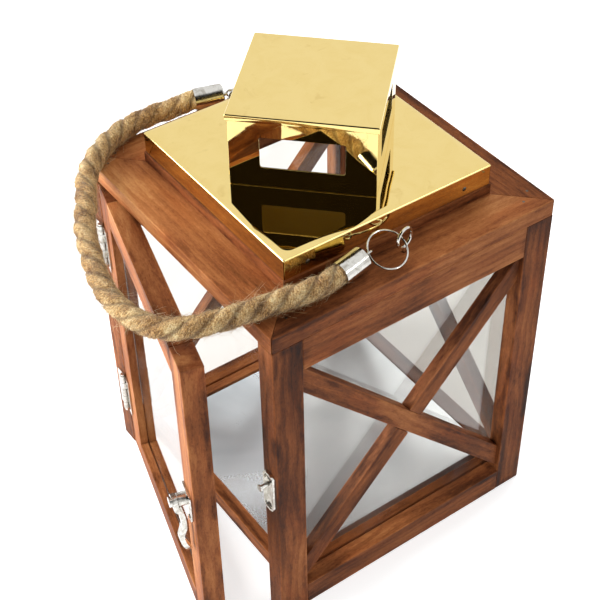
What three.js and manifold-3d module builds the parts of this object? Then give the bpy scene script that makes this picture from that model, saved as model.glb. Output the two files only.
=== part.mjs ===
// Hanging candle lantern: a square wooden frame with braced glass sides, a hinged glass door,
// a folded sheet-metal roof with a vented chimney, and a rope handle hung from screw eyes.
// Millimetres, +Z up. The origin is the centre of the candle floor's top face, and the door
// is on the -Y side with its hinges at -X.
import * as THREE from 'three';
import * as BufferGeometryUtils from 'three/addons/utils/BufferGeometryUtils.js';
import Module from 'manifold-3d';

const wasm = await Module();
wasm.setup();

// ---------------------------------------------------------------- driving dimensions

// wooden frame
const bodySide = 200;
const bodyHeight = 245.3;
const postWidth = 13.5;
const postDepth = 20;
const topBoardThickness = 11;
const topBoardWidth = 45;
const topRailHeight = 22.6;
const topRailThickness = 13.5;
const bottomRailHeight = 18.3;
const bottomRailThickness = 20;
const doorRailHeight = 11.5;
const doorRailThickness = 20;
const doorStopGap = 0.5;

// crossing braces
const braceWidth = 13.2;
const braceDepth = 8;
const braceSetback = 3;
const braceBottomRise = 4.1;

// glass and its grooves
const glassThickness = 2;
const grooveDepth = 3;
const grooveClearance = 0.3;

// plinth, roof and chimney
const plinthWidth = 18.4;
const plinthReveal = 7;
const plinthLip = 1.9;
const roofSide = 145.2;
const roofFlange = 14.4;
const sheetThickness = 0.8;
const sheetBead = 1.1;
const flueHoleSide = 72;
const chimneySide = 85.4;
const chimneyHeight = 47.3;
const chimneyLip = 4;
const chimneyFoot = 4;
const ventWidth = 48;
const ventHeight = 20;
const ventRise = 13.2;
const ventCorner = 1.5;

// candle floor
const floorThickness = 1;
const floorSideGap = 3.5;
const floorFrontLap = 12;
const floorRearLap = 6;
const floorHem = 6;

// door
const doorThickness = 13.5;
const doorSideGap = 0.5;
const doorTopGap = 1.5;
const doorBottomGap = 2;
const doorStile = 20;
const doorTopRail = 19;
const doorBottomRail = 17;
const doorRestAngle = 15;

// hinges
const hingeLength = 32;
const hingeLeafWidth = 8.8;
const hingeLeafThickness = 0.9;
const knuckleRadius = 1.9;
const knuckleCount = 5;
const hingePinRadius = 1;
const hingePinHead = 1.5;
const pinHeadHeight = 1;
const upperHingeDrop = 48;
const lowerHingeRise = 51;
const hingeScrewRadius = 1.4;
const hingeScrewEnd = 6;

// latch on the door, catch on the post
const latchDrop = 113.5;
const latchInset = 12;
const latchPlateWidth = 16;
const latchPlateHeight = 22;
const latchPlateThickness = 1.2;
const latchPlateDrop = 4;
const latchPlateCorner = 2;
const latchBossRadius = 4.2;
const latchBossHeight = 5.3;
const latchLeverThickness = 3;
const latchLeverEye = 4.6;
const leverLength = 45;
const leverWidth = 10;
const leverShoulder = 0.3;
const leverOverPeg = 0.07;

// The lever's edge from the left of its eye round its tip, in shares of its width and length.
const leverEdge = [
  [-0.29, -0.23],
  [-0.18, -0.42],
  [-0.18, -0.58],
  [-0.22, -0.72],
  [-0.24, -0.87],
  [-0.1, -0.98],
  [0.22, -1],
  [0.36, -0.88],
  [0.26, -0.72],
  [0.39, -0.51],
  [0.22, -0.255],
];

// The lever's bend seen from its side: a share of its length, and the step in towards the door.
const leverBend = [
  [0.2, 0],
  [-0.1, 0],
  [-0.2, 2],
  [-0.3, 3.5],
  [-0.5, 3.7],
  [-0.62, 2.6],
  [-0.74, 1.7],
  [-0.86, 2.9],
  [-1.02, 6.2],
];

const latchRivetRadius = 1.7;
const latchRivetHead = 3.4;
const latchRivetHeadHeight = 1.4;
const catchPlateWidth = 10;
const catchPlateHeight = 32;
const catchCorner = 4;
const catchRimWidth = 1.6;
const catchRimHeight = 0.9;
const catchPegRadius = 1.5;
const catchPegLength = 6;
const catchPegHead = 2.4;
const catchPegHeadHeight = 0.9;
const catchPegRise = 7;

// screw eyes, rings, ferrules and rope
const eyeSpacing = 169;
const eyeBoreClearance = 0.3;
const eyeRadius = 6.2;
const eyeWire = 0.9;
const eyeRise = 9.8;
const eyeShank = 9;
const leftEyeTurn = 3;
const rightEyeTurn = 14;
const ringRadius = 11.8;
const ringWire = 0.6;
const ropeRadius = 6.3;
const ropeSides = 12;
const ropeSteps = 15;
const ferruleWall = 0.6;
const ferruleLength = 18.5;
const ferruleCap = 1;
const ferruleLoopRadius = 2.3;
const ferruleLoopWire = 0.7;
const ferruleNeck = 4.6;
const ferruleNeckRadius = 1.2;
const ferruleRound = 0.8;
const ferruleGrip = 8;
const ferruleLead = 4;

// clearances
const pieceGap = 0.3;
const bearingGap = 0.3;

// roundness
const cornerSegments = 4;
const fineSides = 14;
const wireSides = 8;
const ferruleSides = 24;
const eyeSegments = 24;
const ringSegments = 32;
const loopSegments = 18;
const leverSegments = 5;
const bendSegments = 2;

// ---------------------------------------------------------------- levels and derived sizes

const half = bodySide / 2;
const groundZ = -(floorThickness + bottomRailHeight);
const boardTopZ = groundZ + bodyHeight;
const boardBottomZ = boardTopZ - topBoardThickness;
const railBottomZ = boardBottomZ - topRailHeight;
const railTopZ = groundZ + bottomRailHeight;
const postInnerX = half - postWidth;
const postInnerY = half - postDepth;
const glassOffset = braceSetback + braceDepth + pieceGap;
const grooveOuter = half - glassOffset + grooveClearance;
const grooveInner = half - glassOffset - glassThickness - grooveClearance;
const roofHalf = roofSide / 2;
const roofTopZ = boardTopZ + plinthReveal + pieceGap + roofFlange;
const plinthUpperHalf = roofHalf - sheetThickness - pieceGap;
const plinthHalf = plinthUpperHalf + plinthLip;

// ---------------------------------------------------------------- materials

const finish = (color, roughness, metalness) =>
  new THREE.MeshStandardMaterial({ color, roughness, metalness });
const stainedWood = finish(0x6b3a20, 0.6, 0);
const clearGlass = finish(0xdfe8ec, 0.05, 0);
const polishedBrass = finish(0xd9b75a, 0.15, 1);
const zincSheet = finish(0xaeb6bd, 0.4, 1);
const nickel = finish(0xc9c8c4, 0.25, 1);
const jute = finish(0xa98a5c, 0.95, 0);

// ---------------------------------------------------------------- geometry helpers

const lantern = new THREE.Group();

// A closed three.js geometry as a solid that can be joined and cut.
function solid(geometry) {
  const bare = geometry.clone();
  bare.deleteAttribute('normal');
  bare.deleteAttribute('uv');
  const merged = BufferGeometryUtils.mergeVertices(bare, 1e-4);
  const vertProperties = Float32Array.from(merged.attributes.position.array);
  const triVerts = Uint32Array.from(merged.index.array);
  return new wasm.Manifold(new wasm.Mesh({ numProp: 3, vertProperties, triVerts }));
}

function geometryOf(body) {
  const mesh = body.getMesh();
  const geometry = new THREE.BufferGeometry();
  geometry.setAttribute('position', new THREE.BufferAttribute(Float32Array.from(mesh.vertProperties), 3));
  geometry.setIndex(new THREE.BufferAttribute(Uint32Array.from(mesh.triVerts), 1));
  geometry.computeVertexNormals();
  return geometry;
}

function addPiece(name, shape, material, parent = lantern) {
  const geometry = shape.isBufferGeometry ? shape : geometryOf(shape);
  const mesh = new THREE.Mesh(geometry, material);
  mesh.name = name;
  parent.add(mesh);
  return mesh;
}

// A box between two corners, as a geometry.
function block(low, high) {
  const size = high.map((value, axis) => value - low[axis]);
  const geometry = new THREE.BoxGeometry(...size);
  geometry.translate(...high.map((value, axis) => (value + low[axis]) / 2));
  return geometry;
}

const blockSolid = (low, high) => solid(block(low, high));

// An outline in the XY plane raised from bottom to top.
function prism(outline, bottom, top) {
  const geometry = new THREE.ExtrudeGeometry(outline, {
    depth: top - bottom,
    bevelEnabled: false,
    curveSegments: cornerSegments,
  });
  geometry.translate(0, 0, bottom);
  return geometry;
}

function polygon(points) {
  return new THREE.Shape(points.map(([x, y]) => new THREE.Vector2(x, y)));
}

function roundedRectangle(width, height, radius) {
  const x = width / 2;
  const y = height / 2;
  const shape = new THREE.Shape();
  shape.moveTo(-x + radius, -y);
  shape.lineTo(x - radius, -y);
  shape.absarc(x - radius, -y + radius, radius, -Math.PI / 2, 0);
  shape.lineTo(x, y - radius);
  shape.absarc(x - radius, y - radius, radius, 0, Math.PI / 2);
  shape.lineTo(-x + radius, y);
  shape.absarc(-x + radius, y - radius, radius, Math.PI / 2, Math.PI);
  shape.lineTo(-x, -y + radius);
  shape.absarc(-x + radius, -y + radius, radius, Math.PI, 1.5 * Math.PI);
  return shape;
}

// A cylinder about the Z axis from bottom to top.
function post(radius, bottom, top, sides = fineSides) {
  const geometry = new THREE.CylinderGeometry(radius, radius, top - bottom, sides);
  geometry.rotateX(Math.PI / 2);
  geometry.translate(0, 0, (top + bottom) / 2);
  return geometry;
}

// An outline in the XZ plane with its thickness along Y, from one depth to the other.
function wall(outline, front, back) {
  return prism(outline, -back, -front).rotateX(Math.PI / 2);
}

// A cylinder about the Y axis from one depth to the other.
function peg(radius, front, back, sides = fineSides) {
  return post(radius, -back, -front, sides).rotateX(Math.PI / 2);
}

// A box mirrored to one corner of the frame, from its spans away from the centre.
function cornerBlock(xSide, ySide, xs, ys, zs) {
  const ascending = (a, b) => a - b;
  const [x0, x1] = xs.map((x) => x * xSide).sort(ascending);
  const [y0, y1] = ys.map((y) => y * ySide).sort(ascending);
  return blockSolid([x0, y0, zs[0]], [x1, y1, zs[1]]);
}

// ---------------------------------------------------------------- posts

const overcut = 1;
const glassInset = grooveDepth - pieceGap;
const grooveLowZ = railTopZ - grooveDepth;
const grooveHighZ = railBottomZ + grooveDepth;

function cornerPost(xSide, ySide) {
  const timber = cornerBlock(xSide, ySide, [postInnerX, half], [postInnerY, half], [groundZ, boardBottomZ]);
  const sideRebate = cornerBlock(
    xSide,
    ySide,
    [postInnerX - overcut, grooveOuter],
    [postInnerY - overcut, postInnerY + grooveDepth],
    [grooveLowZ, grooveHighZ],
  );
  const rebated = timber.subtract(sideRebate);
  if (ySide < 0) return rebated;
  const rearGroove = cornerBlock(
    xSide,
    ySide,
    [postInnerX - overcut, postInnerX + grooveDepth],
    [grooveInner, grooveOuter],
    [grooveLowZ, grooveHighZ],
  );
  return rebated.subtract(rearGroove);
}

for (const [rowName, ySide] of [['front', -1], ['rear', 1]]) {
  for (const [sideName, xSide] of [['left', -1], ['right', 1]]) {
    addPiece(`post_${rowName}_${sideName}`, cornerPost(xSide, ySide), stainedWood);
  }
}

// ---------------------------------------------------------------- glazed side and rear panels

// Each panel is drawn facing -Y and turned to its side: two rails, two half-lapped braces
// and a pane in a groove behind them.

const braceFrontY = -half + braceSetback;
const braceBackY = braceFrontY + braceDepth;
const braceMidY = (braceFrontY + braceBackY) / 2;

// Drop per millimetre of a brace whose edges meet the two corners of its panel.
function braceSlope(halfSpan, rise) {
  const span = 2 * halfSpan;
  const a = span * span - braceWidth * braceWidth;
  const b = span * rise;
  const c = rise * rise - braceWidth * braceWidth;
  return (b - Math.sqrt(b * b - a * c)) / a;
}

// A brace falling towards +X, widened on both edges by a margin and lengthened at both ends.
function braceOutline(halfSpan, margin, overrun) {
  const highZ = railBottomZ;
  const lowZ = railTopZ + braceBottomRise;
  const slope = braceSlope(halfSpan, highZ - lowZ);
  const middleZ = (highZ + lowZ) / 2;
  const halfHeight = (braceWidth / 2 + margin) * Math.hypot(1, slope);
  const x = halfSpan + overrun;
  return [
    [-x, middleZ + slope * x + halfHeight],
    [-x, middleZ + slope * x - halfHeight],
    [x, middleZ - slope * x - halfHeight],
    [x, middleZ - slope * x + halfHeight],
  ];
}

const mirrored = (points) => points.map(([x, z]) => [-x, z]).reverse();

function overBrace(halfSpan) {
  const timber = solid(wall(polygon(braceOutline(halfSpan, 0, 0)), braceFrontY, braceBackY));
  const crossing = polygon(mirrored(braceOutline(halfSpan, pieceGap, overcut)));
  const lap = wall(crossing, braceMidY - pieceGap / 2, braceBackY + overcut);
  return timber.subtract(solid(lap));
}

function underBrace(halfSpan) {
  const timber = solid(wall(polygon(mirrored(braceOutline(halfSpan, 0, 0))), braceFrontY, braceBackY));
  const crossing = polygon(braceOutline(halfSpan, pieceGap, overcut));
  const lap = wall(crossing, braceFrontY - overcut, braceMidY + pieceGap / 2);
  return timber.subtract(solid(lap));
}

function panelTopRail(halfSpan) {
  const backY = -half + topRailThickness;
  const timber = blockSolid([-halfSpan, -half, railBottomZ], [halfSpan, backY, boardBottomZ]);
  const rebate = blockSolid(
    [-halfSpan - overcut, -grooveOuter, railBottomZ - overcut],
    [halfSpan + overcut, backY + overcut, grooveHighZ],
  );
  return timber.subtract(rebate);
}

function panelBottomRail(halfSpan) {
  const timber = blockSolid([-halfSpan, -half, groundZ], [halfSpan, -half + bottomRailThickness, railTopZ]);
  const groove = blockSolid(
    [-halfSpan - overcut, -grooveOuter, grooveLowZ],
    [halfSpan + overcut, -grooveInner, railTopZ + overcut],
  );
  return timber.subtract(groove);
}

function panelGlass(halfSpan) {
  const frontY = -half + glassOffset;
  return block(
    [-halfSpan - glassInset, frontY, railTopZ - glassInset],
    [halfSpan + glassInset, frontY + glassThickness, railBottomZ + glassInset],
  );
}

const panels = [
  { name: 'right', halfSpan: postInnerY, turn: Math.PI / 2 },
  { name: 'left', halfSpan: postInnerY, turn: -Math.PI / 2 },
  { name: 'rear', halfSpan: postInnerX, turn: Math.PI },
];
for (const { name, halfSpan, turn } of panels) {
  const panel = new THREE.Group();
  panel.rotation.z = turn;
  lantern.add(panel);
  addPiece(`rail_top_${name}`, panelTopRail(halfSpan), stainedWood, panel);
  addPiece(`rail_bottom_${name}`, panelBottomRail(halfSpan), stainedWood, panel);
  addPiece(`brace_over_${name}`, overBrace(halfSpan), stainedWood, panel);
  addPiece(`brace_under_${name}`, underBrace(halfSpan), stainedWood, panel);
  addPiece(`glass_${name}`, panelGlass(halfSpan), clearGlass, panel);
}

// ---------------------------------------------------------------- front rails and candle floor

const doorRailFrontY = -half + doorThickness + doorStopGap;
const doorRailBackY = doorRailFrontY + doorRailThickness;
const sideRailInnerX = half - bottomRailThickness;
const rearRailInnerY = half - bottomRailThickness;

function frontRail(reachX, low, high) {
  return block([-reachX, doorRailFrontY, low], [reachX, doorRailBackY, high]);
}

addPiece('rail_top_front', frontRail(postInnerX, boardBottomZ - doorRailHeight, boardBottomZ), stainedWood);
addPiece('rail_bottom_front', frontRail(sideRailInnerX, railTopZ - doorRailHeight, railTopZ), stainedWood);

function candleFloor() {
  const sideX = sideRailInnerX - floorSideGap;
  const frontY = doorRailBackY - floorFrontLap;
  const rearY = rearRailInnerY + floorRearLap;
  let sheet = blockSolid([-sideX, frontY, -floorThickness], [sideX, rearY, 0]);
  for (const side of [-1, 1]) {
    const hem = cornerBlock(
      side,
      1,
      [sideX - floorThickness, sideX],
      [doorRailBackY + pieceGap, rearRailInnerY - pieceGap],
      [-floorThickness - floorHem, -floorThickness / 2],
    );
    sheet = sheet.add(hem);
  }
  return sheet;
}
addPiece('candle_floor', candleFloor(), zincSheet);

// ---------------------------------------------------------------- mitred top boards and plinth

// One side of a mitred square frame, drawn on the -Y side.
function mitredOutline(outerHalf, innerHalf) {
  const mitre = pieceGap / Math.SQRT2;
  return polygon([
    [-outerHalf + mitre, -outerHalf],
    [outerHalf - mitre, -outerHalf],
    [innerHalf - mitre, -innerHalf],
    [-innerHalf + mitre, -innerHalf],
  ]);
}

const turns = { front: 0, right: Math.PI / 2, rear: Math.PI, left: -Math.PI / 2 };
const eyeX = eyeSpacing / 2;

function topBoard(hasEye) {
  const board = solid(prism(mitredOutline(half, half - topBoardWidth), boardBottomZ, boardTopZ));
  if (!hasEye) return board;
  const bore = post(eyeWire + eyeBoreClearance, boardTopZ - eyeShank - pieceGap, boardTopZ + overcut);
  return board.subtract(solid(bore.translate(0, -eyeX, 0)));
}

function plinthBatten() {
  const innerHalf = plinthHalf - plinthWidth;
  const foot = prism(mitredOutline(plinthHalf, innerHalf), boardTopZ, boardTopZ + plinthReveal);
  const rebated = prism(mitredOutline(plinthUpperHalf, innerHalf), boardTopZ, roofTopZ - sheetThickness);
  return solid(foot).add(solid(rebated));
}

for (const [name, turn] of Object.entries(turns)) {
  const side = new THREE.Group();
  side.rotation.z = turn;
  lantern.add(side);
  addPiece(`top_board_${name}`, topBoard(name === 'left' || name === 'right'), stainedWood, side);
  addPiece(`plinth_${name}`, plinthBatten(), stainedWood, side);
}

// ---------------------------------------------------------------- roof plate and chimney

const square = (halfSide) => polygon([
  [-halfSide, -halfSide],
  [halfSide, -halfSide],
  [halfSide, halfSide],
  [-halfSide, halfSide],
]);

// A square tray of folded sheet, open below, with a rolled bead round its top edge.
function foldedTray(halfSide, topZ, depth) {
  const crown = new THREE.ExtrudeGeometry(square(halfSide - sheetBead), {
    depth,
    bevelSize: sheetBead,
    bevelThickness: sheetBead,
    bevelSegments: 3,
  });
  crown.translate(0, 0, topZ - depth - sheetBead);
  const below = blockSolid([-halfSide, -halfSide, topZ - 2 * depth], [halfSide, halfSide, topZ - depth]);
  const innerHalf = halfSide - sheetThickness;
  const hollow = blockSolid(
    [-innerHalf, -innerHalf, topZ - depth - overcut],
    [innerHalf, innerHalf, topZ - sheetThickness],
  );
  return solid(crown).subtract(below).subtract(hollow);
}

function roofPlate() {
  const hole = prism(square(flueHoleSide / 2), roofTopZ - roofFlange, roofTopZ + overcut);
  return foldedTray(roofHalf, roofTopZ, roofFlange).subtract(solid(hole.rotateZ(Math.PI / 4)));
}
addPiece('roof_plate', roofPlate(), polishedBrass);

const chimney = new THREE.Group();
chimney.rotation.z = Math.PI / 4;
lantern.add(chimney);

const chimneyTopZ = roofTopZ + chimneyHeight;
const shellHalf = chimneySide / 2 - sheetThickness - pieceGap;
const shellBottomZ = roofTopZ + pieceGap;
const shellTopZ = chimneyTopZ - sheetThickness - pieceGap;

function chimneyShell() {
  const innerHalf = shellHalf - sheetThickness;
  const footHalf = shellHalf - chimneyFoot;
  const box = blockSolid([-shellHalf, -shellHalf, shellBottomZ], [shellHalf, shellHalf, shellTopZ]);
  const hollow = blockSolid(
    [-innerHalf, -innerHalf, shellBottomZ + sheetThickness],
    [innerHalf, innerHalf, shellTopZ + overcut],
  );
  const flue = blockSolid([-footHalf, -footHalf, shellBottomZ - overcut], [footHalf, footHalf, shellTopZ]);
  let shell = box.subtract(hollow).subtract(flue);
  const vent = wall(
    roundedRectangle(ventWidth, ventHeight, ventCorner),
    -shellHalf - overcut,
    shellHalf + overcut,
  );
  vent.translate(0, 0, roofTopZ + ventRise + ventHeight / 2);
  for (const turn of [0, Math.PI / 2]) {
    shell = shell.subtract(solid(vent.clone().rotateZ(turn)));
  }
  return shell;
}
addPiece('chimney_shell', chimneyShell(), polishedBrass, chimney);
addPiece('chimney_lid', foldedTray(chimneySide / 2, chimneyTopZ, chimneyLip), polishedBrass, chimney);

// ---------------------------------------------------------------- door

// The door is drawn closed about its hinge axis and turned to its rest angle. Its outer face
// lies just behind the hinge axis.

const axisProud = knuckleRadius + pieceGap;
const hingeAxisX = -postInnerX + doorSideGap / 2;
const hingeAxisY = -half - axisProud;
const doorX0 = doorSideGap / 2;
const doorX1 = doorX0 + 2 * postInnerX - 2 * doorSideGap;
const doorY0 = axisProud;
const doorY1 = doorY0 + doorThickness;
const doorZ0 = groundZ + doorBottomGap;
const doorZ1 = boardBottomZ - doorTopGap;
const doorMidY = (doorY0 + doorY1) / 2;
const doorGrooveHalf = glassThickness / 2 + grooveClearance;

const door = new THREE.Group();
door.position.set(hingeAxisX, hingeAxisY, 0);
door.rotation.z = THREE.MathUtils.degToRad(-doorRestAngle);
lantern.add(door);

const daylight = {
  x0: doorX0 + doorStile,
  x1: doorX1 - doorStile,
  z0: doorZ0 + doorBottomRail,
  z1: doorZ1 - doorTopRail,
};
const doorGroove = blockSolid(
  [daylight.x0 - grooveDepth, doorMidY - doorGrooveHalf, daylight.z0 - grooveDepth],
  [daylight.x1 + grooveDepth, doorMidY + doorGrooveHalf, daylight.z1 + grooveDepth],
);

function doorTimber(x0, x1, z0, z1) {
  return blockSolid([x0, doorY0, z0], [x1, doorY1, z1]).subtract(doorGroove);
}
addPiece('door_stile_hinge', doorTimber(doorX0, daylight.x0, doorZ0, doorZ1), stainedWood, door);
addPiece('door_stile_latch', doorTimber(daylight.x1, doorX1, doorZ0, doorZ1), stainedWood, door);
addPiece(
  'door_rail_top',
  doorTimber(daylight.x0 + pieceGap, daylight.x1 - pieceGap, daylight.z1, doorZ1),
  stainedWood,
  door,
);
addPiece(
  'door_rail_bottom',
  doorTimber(daylight.x0 + pieceGap, daylight.x1 - pieceGap, doorZ0, daylight.z0),
  stainedWood,
  door,
);
addPiece(
  'door_glass',
  block(
    [daylight.x0 - glassInset, doorMidY - glassThickness / 2, daylight.z0 - glassInset],
    [daylight.x1 + glassInset, doorMidY + glassThickness / 2, daylight.z1 + glassInset],
  ),
  clearGlass,
  door,
);

// ---------------------------------------------------------------- hinges

// A leaf drawn about the pin axis: a plate beside the knuckles and a tongue into each of its own.
const knucklePitch = hingeLength / knuckleCount;
const leafY0 = knuckleRadius - hingeLeafThickness;
const leafY1 = knuckleRadius;
const leafEdgeX = knuckleRadius + bearingGap;

function hingeLeaf(side, firstKnuckle) {
  const z0 = -hingeLength / 2;
  let leaf = cornerBlock(side, 1, [leafEdgeX, hingeLeafWidth], [leafY0, leafY1], [z0, -z0]);
  for (let index = firstKnuckle; index < knuckleCount; index += 2) {
    const low = z0 + index * knucklePitch + bearingGap / 2;
    const high = z0 + (index + 1) * knucklePitch - bearingGap / 2;
    leaf = leaf.add(cornerBlock(side, 1, [0, leafEdgeX + overcut], [leafY0, leafY1], [low, high]));
    leaf = leaf.add(solid(post(knuckleRadius, low, high)));
  }
  leaf = leaf.subtract(solid(post(hingePinRadius + bearingGap, z0 - overcut, -z0 + overcut)));
  const screwX = (side * (leafEdgeX + hingeLeafWidth)) / 2;
  for (const screwZ of [z0 + hingeScrewEnd, -z0 - hingeScrewEnd]) {
    const hole = peg(hingeScrewRadius, leafY0 - overcut, leafY1 + overcut);
    leaf = leaf.subtract(solid(hole.translate(screwX, 0, screwZ)));
  }
  return leaf;
}

function hingePin() {
  const end = hingeLength / 2;
  const shaft = solid(post(hingePinRadius, -end - pinHeadHeight, end + pinHeadHeight));
  const foot = solid(post(hingePinHead, -end - pinHeadHeight - bearingGap, -end - bearingGap));
  const head = solid(post(hingePinHead, end + bearingGap, end + bearingGap + pinHeadHeight));
  return shaft.add(foot).add(head);
}

const hinges = { upper: doorZ1 - upperHingeDrop, lower: doorZ0 + lowerHingeRise };
for (const [name, centreZ] of Object.entries(hinges)) {
  const onFrame = new THREE.Group();
  onFrame.position.set(hingeAxisX, hingeAxisY, centreZ);
  lantern.add(onFrame);
  const onDoor = new THREE.Group();
  onDoor.position.z = centreZ;
  door.add(onDoor);
  addPiece(`hinge_${name}_frame_leaf`, hingeLeaf(-1, 0), nickel, onFrame);
  addPiece(`hinge_${name}_pin`, hingePin(), nickel, onFrame);
  addPiece(`hinge_${name}_door_leaf`, hingeLeaf(1, 1), nickel, onDoor);
}

// ---------------------------------------------------------------- latch and catch

const latchX = doorX1 - latchInset;
const latchZ = doorZ1 - latchDrop;
const latchPlateY = doorY0 - pieceGap;
const latchBossY = latchPlateY - latchPlateThickness - latchBossHeight;
const leverBackY = latchBossY - bearingGap;
const leverFrontY = leverBackY - latchLeverThickness;
const catchX = half - postWidth / 2;
const catchPegZ = latchZ + catchPegRise;
const catchReach = Math.hypot(catchX - (hingeAxisX + latchX), catchPegRise);

const latch = new THREE.Group();
latch.position.set(latchX, 0, latchZ);
door.add(latch);

function latchPlate() {
  const outline = roundedRectangle(latchPlateWidth, latchPlateHeight, latchPlateCorner);
  const plate = wall(outline, latchPlateY - latchPlateThickness, latchPlateY);
  plate.translate(0, 0, -latchPlateDrop);
  const boss = peg(latchBossRadius, latchBossY, latchPlateY);
  const bore = peg(latchRivetRadius + bearingGap, latchBossY - overcut, latchPlateY + overcut);
  return solid(plate).add(solid(boss)).subtract(solid(bore));
}

// A strip as wide as the lever, bent to the lever's side view.
function bentStrip() {
  const edge = (startY) => leverBend.map(([z, step]) => new THREE.Vector2(startY + step, z * leverLength));
  const front = edge(leverFrontY);
  const back = edge(leverBackY).reverse();
  const side = new THREE.Shape();
  side.moveTo(front[0].x, front[0].y);
  side.splineThru(front.slice(1));
  side.lineTo(back[0].x, back[0].y);
  side.splineThru(back.slice(1));
  side.closePath();
  const strip = new THREE.ExtrudeGeometry(side, {
    depth: 2 * leverWidth,
    bevelEnabled: false,
    curveSegments: bendSegments,
  });
  strip.rotateX(Math.PI / 2);
  strip.rotateZ(Math.PI / 2);
  strip.translate(-leverWidth, 0, 0);
  return solid(strip);
}

// An S-shaped cast lever hanging from its eye. A hollow in its edge drops over the catch peg.
function latchLever() {
  const outline = new THREE.Shape();
  outline.absarc(0, 0, latchLeverEye, -leverShoulder, Math.PI + leverShoulder);
  outline.splineThru(leverEdge.map(([x, z]) => new THREE.Vector2(x * leverWidth, z * leverLength)));
  outline.closePath();
  const blank = new THREE.ExtrudeGeometry(outline, {
    depth: leverLength,
    bevelEnabled: false,
    curveSegments: leverSegments,
  });
  blank.rotateX(Math.PI / 2);
  blank.translate(0, leverLength / 2, 0);
  const bore = peg(latchRivetRadius + bearingGap, leverFrontY - overcut, leverBackY + overcut);
  const hollow = peg(catchPegRadius + 2 * bearingGap, leverFrontY - overcut, latchPlateY);
  hollow.translate(-catchReach * Math.sin(leverOverPeg), 0, -catchReach * Math.cos(leverOverPeg));
  return solid(blank).intersect(bentStrip()).subtract(solid(bore)).subtract(solid(hollow));
}

function latchRivet() {
  const headBackY = leverFrontY - bearingGap;
  const shaft = peg(latchRivetRadius, headBackY - latchRivetHeadHeight / 2, latchPlateY);
  const head = peg(latchRivetHead, headBackY - latchRivetHeadHeight, headBackY);
  return solid(shaft).add(solid(head));
}

function catchPlate() {
  const backY = -half;
  const frontY = backY - latchPlateThickness;
  const outline = (inset) => roundedRectangle(
    catchPlateWidth - 2 * inset,
    catchPlateHeight - 2 * inset,
    catchCorner - inset,
  );
  const rimFrontY = frontY - catchRimHeight;
  const plate = wall(outline(0), frontY, backY);
  const rim = wall(outline(0), rimFrontY, backY);
  const dish = wall(outline(catchRimWidth), rimFrontY - overcut, frontY);
  const pegEndY = frontY - catchPegLength;
  const shaft = peg(catchPegRadius, pegEndY - catchPegHeadHeight / 2, frontY + latchPlateThickness / 2);
  const head = peg(catchPegHead, pegEndY - catchPegHeadHeight, pegEndY);
  const stud = solid(shaft).add(solid(head)).translate(0, 0, catchPegRise);
  return solid(plate).add(solid(rim).subtract(solid(dish))).add(stud);
}

addPiece('latch_plate', latchPlate(), nickel, latch);
addPiece('latch_lever', latchLever(), nickel, latch);
addPiece('latch_rivet', latchRivet(), nickel, latch);
addPiece('catch_plate', catchPlate(), nickel).position.set(catchX, 0, latchZ);

// ---------------------------------------------------------------- screw eyes and rings

const swingAxisZ = boardTopZ + eyeRise;

function screwEye(turn) {
  const loop = new THREE.TorusGeometry(eyeRadius, eyeWire, wireSides, eyeSegments);
  loop.rotateY(Math.PI / 2);
  loop.rotateZ(turn);
  const shank = post(eyeWire, -eyeShank - eyeRise, -eyeRadius, wireSides);
  return solid(loop).add(solid(shank));
}

// A ring drawn round its centre, from the direction towards its eye and its plane's normal.
function placeRing(name, centre, towardsEye, normal) {
  const torus = new THREE.TorusGeometry(ringRadius, ringWire, wireSides, ringSegments);
  const ring = addPiece(name, torus, nickel);
  const across = new THREE.Vector3().crossVectors(towardsEye, normal);
  ring.quaternion.setFromRotationMatrix(new THREE.Matrix4().makeBasis(towardsEye, across.negate(), normal));
  ring.position.copy(centre);
  return ring;
}

for (const [name, side, turn] of [['left', -1, leftEyeTurn], ['right', 1, rightEyeTurn]]) {
  const eye = addPiece(`screw_eye_${name}`, screwEye(THREE.MathUtils.degToRad(turn)), nickel);
  eye.position.set(side * eyeX, 0, swingAxisZ);
}

// Right ring: lying forwards from its eye, its outer side dipped towards the board.
const rightRingDrop = 2.6;
const rightRingNormal = new THREE.Vector3(0.5, 0, 0.866).normalize();
const rightRingTowardsEye = new THREE.Vector3(0, 1, 0).projectOnPlane(rightRingNormal).normalize();
const rightRingCentre = new THREE.Vector3(eyeX, 0, swingAxisZ - rightRingDrop);
rightRingCentre.addScaledVector(rightRingTowardsEye, -ringRadius);
placeRing('ring_right', rightRingCentre, rightRingTowardsEye, rightRingNormal);

// Left ring: lying back from its eye, with the ferrule's loop on the swing axis.
const leftLoopAngle = THREE.MathUtils.degToRad(25);
const leftRingDip = THREE.MathUtils.degToRad(23);
const leftRingShift = 2;
const leftRingX = -eyeX - leftRingShift;
const leftRingBack = new THREE.Vector3(0, Math.cos(leftRingDip), -Math.sin(leftRingDip));
const leftRingNormal = new THREE.Vector3(0, Math.sin(leftRingDip), Math.cos(leftRingDip));
const leftLoop = new THREE.Vector3(leftRingX - ringRadius * Math.sin(leftLoopAngle), 0, swingAxisZ);
const leftRingCentre = new THREE.Vector3(leftRingX, 0, swingAxisZ);
leftRingCentre.addScaledVector(leftRingBack, ringRadius * Math.cos(leftLoopAngle));
placeRing('ring_left', leftRingCentre, leftRingBack.clone().negate(), leftRingNormal);

// ---------------------------------------------------------------- ferrules and rope

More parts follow.
